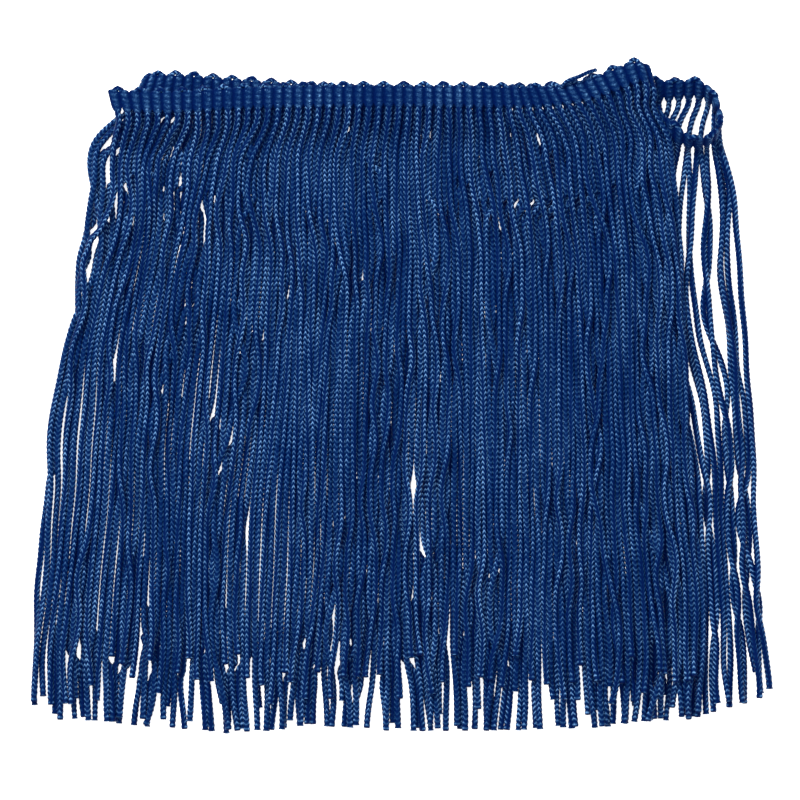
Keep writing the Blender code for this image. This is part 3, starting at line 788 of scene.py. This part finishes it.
def heading_face(side):
    """One face of the heading: rounded ribs side by side, each wrapped in rows of slanting stitches."""
    columns = RIB_COUNT * STEPS_PER_RIB + 1
    lengths = np.linspace(0.0, RIB_COUNT * RIB_PITCH, columns)
    points, _, up, out = HEADING.frames(lengths)
    place = (np.arange(columns) % STEPS_PER_RIB) / STEPS_PER_RIB
    bow = np.sqrt(np.maximum(1 - (2 * place - 1) ** 2, 0.0))
    heights = np.linspace(0.0, 1.0, ROWS_UP)
    blunt = np.where(heights < 0.5, LOWER_BLUNTNESS, UPPER_BLUNTNESS)
    rounded = np.sqrt(np.maximum(1 - np.abs(2 * heights - 1) ** blunt, 0.0))
    row = heights * HEADING_HEIGHT / WRAP_PITCH
    slanted = row[None, :] + WRAP_SLANT * (place[:, None] - 0.5)
    wrap = 1 - (2 * (slanted % 1.0) - 1) ** 2
    depth = RIB_THICKNESS / 2 - VALLEY_DEPTH * (1 - bow[:, None])
    depth = depth * (END_SHARE + (1 - END_SHARE) * rounded[None, :])
    depth = depth + WRAP_HEIGHT * (wrap - 1) * bow[:, None] * rounded[None, :]
    low = VALLEY_RISE * (1 - bow[:, None])
    high = HEADING_HEIGHT - VALLEY_DIP * (1 - bow[:, None])
    level = low + (high - low) * heights[None, :]
    sheet = points[:, None] + up[:, None] * level[..., None] + side * out[:, None] * depth[..., None]
    # Painted light on the ribs: painted shade into the valleys between ribs and the grooves between stitches,
    # and one side of each rib paler than the other as painted side light
    lit = bow * (1 - SIDE_PAINTED_LIGHT / 2 + SIDE_PAINTED_LIGHT * place)
    crest = (RIB_PAINTED_LIGHT + WRAP_PAINTED_LIGHT * wrap) * lit[:, None] ** 2
    rib = np.floor(lengths / RIB_PITCH)
    # Painted glints: small painted highlights in two lines up each rib, brighter or dimmer at random
    for glint in GLINTS:
        beside = np.exp(-(((place - glint.place) / GLINT_WIDTH) ** 2))[:, None]
        chance = scattered(rib[:, None], np.floor(slanted), glint.place)
        crest = crest + glint.strength * chance * beside * wrap ** 3
    index = np.arange(columns * ROWS_UP).reshape(columns, ROWS_UP)
    corners = [index[:-1, :-1], index[1:, :-1], index[1:, 1:], index[:-1, 1:]]
    if side < 0:
        corners = corners[::-1]
    faces = np.stack([corner.ravel() for corner in corners], axis=-1)
    along = np.repeat(lengths, ROWS_UP)
    tone = np.repeat(np.sin(rib * TONE_STEP) * 0.5 + 0.5, ROWS_UP)
    return Patch(sheet.reshape(-1, 3), faces, crest.ravel(), along, tone)


def heading_patch():
    """Both faces, sewn together at every edge."""
    front, back = heading_face(1), heading_face(-1)
    both = joined([front, back])
    columns = len(front.points) // ROWS_UP
    index = np.arange(columns * ROWS_UP).reshape(columns, ROWS_UP)
    other = index + columns * ROWS_UP
    rims = []
    for a, b in (
        (index[:, 0], other[:, 0]), (other[:, -1], index[:, -1]),
        (other[0, :], index[0, :]), (index[-1, :], other[-1, :]),
    ):
        rims.append(np.stack([a[:-1], b[:-1], b[1:], a[1:]], axis=-1))
    return both._replace(faces=np.concatenate([both.faces, *rims]))


def loop_patches(rng):
    """Along the top, a cord over each pair of ribs: up one rib, over and down the next."""
    turn = np.linspace(0.0, math.pi, LOOP_POINTS)
    patches = []
    for pair in range(RIB_COUNT // 2):
        middle = (2 * pair + 1) * RIB_PITCH
        point, along, up, out = (value[0] for value in HEADING.frames([middle]))
        reach = LOOP_REACH * np.cos(turn)
        rise = HEADING_HEIGHT - LOOP_SINK + LOOP_RISE * np.sin(turn) ** LOOP_BEND
        bend = point - along * reach[:, None] + up * rise[:, None]
        line = [bend[0] - up * LOOP_FOOT, *bend, bend[-1] - up * LOOP_FOOT]
        patches.append(
            knit_tube(line, LOOP_RADIUS, LOOP_SIDES, rng.random(), rng, stitch=LOOP_STITCH, beside=out)
        )
    return patches


# --------------------------------------------------------------------------------------------------- finishes

# A painted glow in the yarn's shade colour, so that its deepest folds stay blue, and the blue of its sheen
PAINTED_GLOW = 0.35
SHEEN = (0.15, 0.45, 1.0)

# The white surface: the two whites of its mottle, and its glow as on a light table
PAPER_WHITES = ((0.93, 0.93, 0.93), (0.95, 0.95, 0.95))
PAPER_GLOW = 0.8


def colour(values):
    return (*values, 1.0)


class Value:
    """A number socket that does arithmetic: an expression on Values adds its Math nodes."""

    def __init__(self, finish, socket):
        self.finish = finish
        self.socket = socket

    def math(self, operation, *operands, clamp=False):
        settings = {"operation": operation, "use_clamp": clamp}
        node = self.finish.node("ShaderNodeMath", settings, dict(enumerate(operands)))
        return Value(self.finish, node.outputs[0])

    def __add__(self, other):
        return self.math("ADD", self, other)

    def __sub__(self, other):
        return self.math("SUBTRACT", self, other)

    def __rsub__(self, other):
        return self.math("SUBTRACT", other, self)

    def __mul__(self, other):
        return self.math("MULTIPLY", self, other)

    __radd__ = __add__
    __rmul__ = __mul__

    def power(self, exponent):
        return self.math("POWER", self, exponent)

    def clamped(self):
        return self.math("ADD", self, 0.0, clamp=True)


class Finish:
    """A material in the making: one method adds a node, and the others give what the finishes share."""

    def __init__(self, name):
        self.material = bpy.data.materials.new(name)
        self.material.use_nodes = True
        self.tree = self.material.node_tree
        self.tree.nodes.clear()

    def node(self, kind, settings=None, sockets=None):
        """A node of this type, with its settings made first and then its sockets' values or links."""
        node = self.tree.nodes.new(kind)
        for name, setting in (settings or {}).items():
            setattr(node, name, setting)
        for key, value in (sockets or {}).items():
            if isinstance(value, Value):
                self.tree.links.new(value.socket, node.inputs[key])
            elif isinstance(value, bpy.types.NodeSocket):
                self.tree.links.new(value, node.inputs[key])
            else:
                node.inputs[key].default_value = value
        return node

    def carried(self, name):
        """A number that the mesh carries at each point."""
        return Value(self, self.node("ShaderNodeAttribute", {"attribute_name": name}).outputs["Fac"])

    def noise(self, size, detail=2.0):
        """Noise from 0 to 1 whose lumps are about this many millimetres across."""
        place = self.node("ShaderNodeTexCoord").outputs["Object"]
        sockets = {"Vector": place, "Scale": 1 / (size * MM), "Detail": detail}
        return Value(self, self.node("ShaderNodeTexNoise", None, sockets).outputs["Fac"])

    def mixed(self, share, first, second):
        """A colour between two others."""
        node = self.node("ShaderNodeMix", {"data_type": "RGBA"}, {"Factor": share, 6: first, 7: second})
        return node.outputs[2]

    def surface(self, sockets):
        """The material with this surface."""
        shader = self.node("ShaderNodeBsdfPrincipled", None, sockets)
        output = self.node("ShaderNodeOutputMaterial")
        self.tree.links.new(shader.outputs[0], output.inputs[0])
        return self.material


def yarn_finish(name, dyes_and_light, shine, roughness, mottle=0.4, sharpness=6.0):
    """Twisted rayon yarn: dark between the stitches with painted shade, pale with painted highlights and
    glossier on their crests, and a faint painted glow in its shade colour.
    """
    finish = Finish(name)
    crest = finish.carried("crest")
    tone = finish.carried("tone")
    broad = finish.noise(9.0)
    uneven = finish.noise(1.1, detail=1.0)
    fibres = finish.noise(0.35, detail=3.0)
    lit = 0.92 + (tone - 0.5) * 0.25 + (broad - 0.5) * 0.5 + (uneven - 0.5) * 0.7
    # Painted light mask: high on the stitches' crests, low between them, with the fibres' random mottle added
    painted_light_and_mottle = (crest * lit + (fibres - 0.5) * mottle + 0.06).clamped()
    # Painted shade: the shade colour between the stitches and in the heading's valleys and grooves
    base = finish.mixed(painted_light_and_mottle * painted_light_and_mottle, colour(dyes_and_light.shade), colour(dyes_and_light.yarn))
    # Painted highlights: the highlight colour on the stitches' crests and the heading's glints
    with_painted_highlights = finish.mixed(painted_light_and_mottle.power(sharpness), base, colour(dyes_and_light.painted_highlight))
    bump = finish.node("ShaderNodeBump", None, {"Height": fibres, "Strength": 0.35, "Distance": 0.0002})
    return finish.surface({
        "Base Color": with_painted_highlights,
        "Roughness": roughness + 0.2 - painted_light_and_mottle * 0.2,
        "Normal": bump.outputs[0],
        "Specular IOR Level": shine,
        "Specular Tint": colour(SHEEN),
        # Painted glow: the shade colour glows faintly, so that the deepest shadows stay blue
        "Emission Color": colour(dyes_and_light.shade),
        "Emission Strength": PAINTED_GLOW,
    })


def paper_finish():
    """Smooth white paper with the faintest mottle, lit from below."""
    finish = Finish("paper")
    return finish.surface({
        "Base Color": finish.mixed(finish.noise(30.0), *(colour(white) for white in PAPER_WHITES)),
        "Roughness": 0.9,
        "Specular IOR Level": 0.1,
        "Emission Color": (1.0, 1.0, 1.0, 1.0),
        "Emission Strength": PAPER_GLOW,
    })


# -------------------------------------------------------------------------------------------------- settings


def colour_setting(name, description, default):
    return bpy.props.FloatVectorProperty(
        name=name, description=description, default=default, subtype="COLOR", min=0.0, max=1.0, size=3
    )


# The yarn's own colour, and the colours of its painted shade and painted highlights
class FringeDyesAndPaintedLight(bpy.types.PropertyGroup):
    # Painted shade: the colour put between the stitches and in the heading's valleys where shade falls, also
    # glowing faintly as painted glow
    shade: colour_setting("Shade", "The yarn deep between its stitches", (0.0001, 0.004, 0.045))
    yarn: colour_setting("Yarn", "The yarn in plain light", (0.0025, 0.053, 0.155))
    # Painted highlight: the colour put on the stitches' crests and glints where light catches them
    painted_highlight: colour_setting("Highlight", "The crests of the stitches", (0.14, 0.29, 0.53))


class FringeCordSizes(bpy.types.PropertyGroup):
    radius: bpy.props.FloatProperty(
        name="Cord radius", description="Half the thickness of a knitted cord", default=CORD_RADIUS * MM,
        min=0.0003, max=0.003, unit="LENGTH",
    )
    stitch: bpy.props.FloatProperty(
        name="Stitch", description="The length of one stitch along a cord", default=STITCH * MM,
        min=0.0006, max=0.004, unit="LENGTH",
    )


class FringeStageSettings(bpy.types.PropertyGroup):
    camera_height: bpy.props.FloatProperty(
        name="Camera height", description="How high the camera hangs over the fringe", default=1.2,
        min=0.3, max=3.0, unit="LENGTH",
    )
    view_width: bpy.props.FloatProperty(
        name="View width", description="The width of surface that the camera takes in", default=0.2,
        min=0.05, max=1.0, unit="LENGTH",
    )
    sky: bpy.props.FloatProperty(
        name="Sky", description="Strength of the even light from all round", default=0.8, min=0.0, max=4.0
    )
    lamp: bpy.props.FloatProperty(
        name="Lamp", description="Power of the soft lamp", default=14.0, min=0.0, max=200.0, unit="POWER"
    )


# ------------------------------------------------------------------------------------------------- operators

# The point under the camera, in millimetres, and its sensor's width
VIEW_MIDDLE = (0.25, -0.375, 0.0)
SENSOR = 36.0

# The surface and the lamp, in metres
FLOOR_SIZE = 6.0
LAMP_PLACE = (-0.35, 0.55, 0.9)
LAMP_SIZE = 0.5

# A run with more facets round its cords than this becomes two pieces
MOST_FACETS = 380


class FRINGE_OT_stage(bpy.types.Operator):
    """Add the white surface, the soft lights and the camera overhead"""

    bl_idname = "fringe.stage"
    bl_label = "Stage"

    def execute(self, context):
        settings = context.scene.fringe_stage
        bpy.ops.mesh.primitive_plane_add(size=FLOOR_SIZE, location=(0, 0, 0))
        floor = context.active_object
        floor.name = "paper_floor"
        floor.data.materials.append(paper_finish())
        world = bpy.data.worlds.new("studio")
        world.use_nodes = True
        sky = world.node_tree.nodes["Background"].inputs
        sky["Color"].default_value = (1, 1, 1, 1)
        sky["Strength"].default_value = settings.sky
        context.scene.world = world
        lamp = bpy.data.lights.new("soft_lamp", "AREA")
        lamp.energy = settings.lamp
        lamp.size = LAMP_SIZE
        holder = bpy.data.objects.new("soft_lamp", lamp)
        holder.location = LAMP_PLACE
        holder.rotation_euler = (-holder.location).to_track_quat("-Z", "Y").to_euler()
        context.scene.collection.objects.link(holder)
        camera = bpy.data.cameras.new("overhead")
        camera.sensor_width = SENSOR
        camera.lens = SENSOR * settings.camera_height / settings.view_width
        viewer = bpy.data.objects.new("overhead", camera)
        middle = (np.array(VIEW_MIDDLE) + OFFSET) * MM
        viewer.location = (middle[0], middle[1], settings.camera_height)
        context.scene.collection.objects.link(viewer)
        context.scene.camera = viewer
        context.scene.view_settings.view_transform = "Standard"
        return {"FINISHED"}


class FRINGE_OT_cords(bpy.types.Operator):
    """Lay the knitted cords of all four runs, from the lowest to the uppermost"""

    bl_idname = "fringe.cords"
    bl_label = "Cords"

    def execute(self, context):
        sizes = context.scene.fringe_cords
        rng = random.Random(SEED + 1)
        finish = yarn_finish("chainette_cord", context.scene.fringe_dyes, shine=0.1, roughness=0.38)
        laid = lay_cords()
        if not laid:
            raise RuntimeError("the heading has no roots for any cord")
        for run in RUNS:
            own = sorted((cord for cord in laid if cord.run is run), key=lambda cord: cord.points[0][0])
            halves = 2 if run.sides * len(own) > MOST_FACETS else 1
            share = math.ceil(len(own) / halves)
            for half in range(halves):
                patches = [
                    knit_tube(
                        cord.points, sizes.radius / MM, run.sides, cord.tone, rng, stitch=sizes.stitch / MM,
                        around=run.around,
                    )
                    for cord in own[half * share:(half + 1) * share]
                ]
                name = f"{run.node.replace('fringe', 'cords')}_{'ab'[half]}"
                make_piece(name, joined(patches), finish, "chainette", run.node)
        return {"FINISHED"}


class FRINGE_OT_heading(bpy.types.Operator):
    """Build the ribbed heading that every cord hangs from"""

    bl_idname = "fringe.heading"
    bl_label = "Heading"

    def execute(self, context):
        dyes_and_light = context.scene.fringe_dyes
        finish = yarn_finish("heading_wrap", dyes_and_light, shine=0.06, roughness=0.6, mottle=0.9, sharpness=5.0)
        make_piece("heading_ribs", heading_patch(), finish, "heading_yarn", "heading")
        return {"FINISHED"}


class FRINGE_OT_loops(bpy.types.Operator):
    """Turn a cord over each pair of ribs along the heading's top"""

    bl_idname = "fringe.loops"
    bl_label = "Top Loops"

    def execute(self, context):
        finish = yarn_finish("loop_cord", context.scene.fringe_dyes, shine=0.06, roughness=0.5)
        patch = joined(loop_patches(random.Random(SEED + 2)))
        make_piece("heading_loops", patch, finish, "heading_yarn")
        return {"FINISHED"}


class FRINGE_OT_yarn_end(bpy.types.Operator):
    """Add the loose tail of binding yarn above the heading"""

    bl_idname = "fringe.yarn_end"
    bl_label = "Yarn End"

    def execute(self, context):
        finish = yarn_finish("binding_yarn", context.scene.fringe_dyes, shine=0.06, roughness=0.6)
        route = curve_through((YARN_END_ROOT, *YARN_END_ROUTE))
        rng = random.Random(SEED + 3)
        patch = knit_tube(
            route, YARN_END_RADIUS, YARN_END_SIDES, YARN_END_TONE, rng, stitch=YARN_END_STITCH
        )
        make_piece("yarn_tail", patch, finish, "heading_yarn", "yarn_end")
        return {"FINISHED"}


class FRINGE_PT_panel(bpy.types.Panel):
    """The settings and the operators, in the order in which they run"""

    bl_idname = "FRINGE_PT_panel"
    bl_label = "Chainette Fringe Trim"
    bl_space_type = "VIEW_3D"
    bl_region_type = "UI"
    bl_category = "Fringe"

    def draw(self, context):
        for name in GROUPS:
            group = getattr(context.scene, name)
            box = self.layout.box()
            for key in group.bl_rna.properties.keys():
                if key not in ("rna_type", "name"):
                    box.prop(group, key)
        for operator in OPERATORS:
            self.layout.operator(operator.bl_idname)


GROUPS = {"fringe_dyes": FringeDyesAndPaintedLight, "fringe_cords": FringeCordSizes, "fringe_stage": FringeStageSettings}
OPERATORS = (
    FRINGE_OT_stage, FRINGE_OT_heading, FRINGE_OT_loops, FRINGE_OT_cords, FRINGE_OT_yarn_end,
)


def register():
    for group in GROUPS.values():
        bpy.utils.register_class(group)
    for name, group in GROUPS.items():
        setattr(bpy.types.Scene, name, bpy.props.PointerProperty(type=group))
    for operator in OPERATORS:
        bpy.utils.register_class(operator)
    bpy.utils.register_class(FRINGE_PT_panel)


def unregister():
    bpy.utils.unregister_class(FRINGE_PT_panel)
    for operator in reversed(OPERATORS):
        bpy.utils.unregister_class(operator)
    for name, group in GROUPS.items():
        delattr(bpy.types.Scene, name)
        bpy.utils.unregister_class(group)


def main():
    register()
    bpy.ops.fringe.stage()
    bpy.ops.fringe.heading()
    bpy.ops.fringe.loops()
    bpy.ops.fringe.cords()
    bpy.ops.fringe.yarn_end()


if __name__ == "__main__":
    main()
